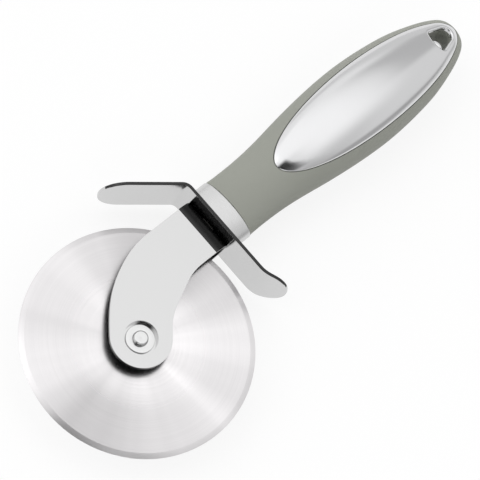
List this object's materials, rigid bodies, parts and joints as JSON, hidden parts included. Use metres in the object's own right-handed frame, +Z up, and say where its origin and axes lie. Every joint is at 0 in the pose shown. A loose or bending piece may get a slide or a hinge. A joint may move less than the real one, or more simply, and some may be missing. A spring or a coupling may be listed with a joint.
{
  "type": "pizza cutter wheel",
  "caption": "Hand-held pizza cutter: a bevelled steel wheel turns in a folded steel fork behind a bent finger guard, on an oval soft-grip handle with polished inlays and a hang hole.",
  "frame": {"origin": "centre of the whole cutter's footprint as it lies on its side, at the height of its lowest point", "axes": "+X from the wheel to the handle's tip along the handle, +Y towards the guard wing that runs forward, +Z up along the wheel's axle"},
  "size_m": [0.2073, 0.0877, 0.0253],
  "materials": {
    "wheel_steel": "circular-brushed faces, ground bevel",
    "frame_steel": "polished sheet",
    "pin_steel": "bright turned",
    "ferrule_steel": "satin",
    "tang_steel": "plain bar",
    "washer_nylon": "natural nylon",
    "core_plastic": "moulded",
    "grip_rubber": "soft-touch, matt grey-green",
    "inlay_chrome": "satin-bright plating"
  },
  "bodies": {
    "handle": {"axle_pin": "pin_steel", "front_thrust_washer": "washer_nylon", "rear_thrust_washer": "washer_nylon", "front_retaining_washer": "pin_steel", "rear_retaining_washer": "pin_steel", "fork": "frame_steel", "finger_guard": "frame_steel", "ferrule": "ferrule_steel", "tang": "tang_steel", "handle_core": "core_plastic", "grip_sleeve": "grip_rubber", "front_inlay": "inlay_chrome", "rear_inlay": "inlay_chrome"},
    "wheel": {"cutting_wheel": "wheel_steel"}
  },
  "joints": [
    {"name": "wheel_spin", "type": "hinge", "parent": "handle", "child": "wheel", "pos_m": [-0.06365, -0.00385, 0.01265], "axis": [0, 0, 1], "continuous": true}
  ]
}
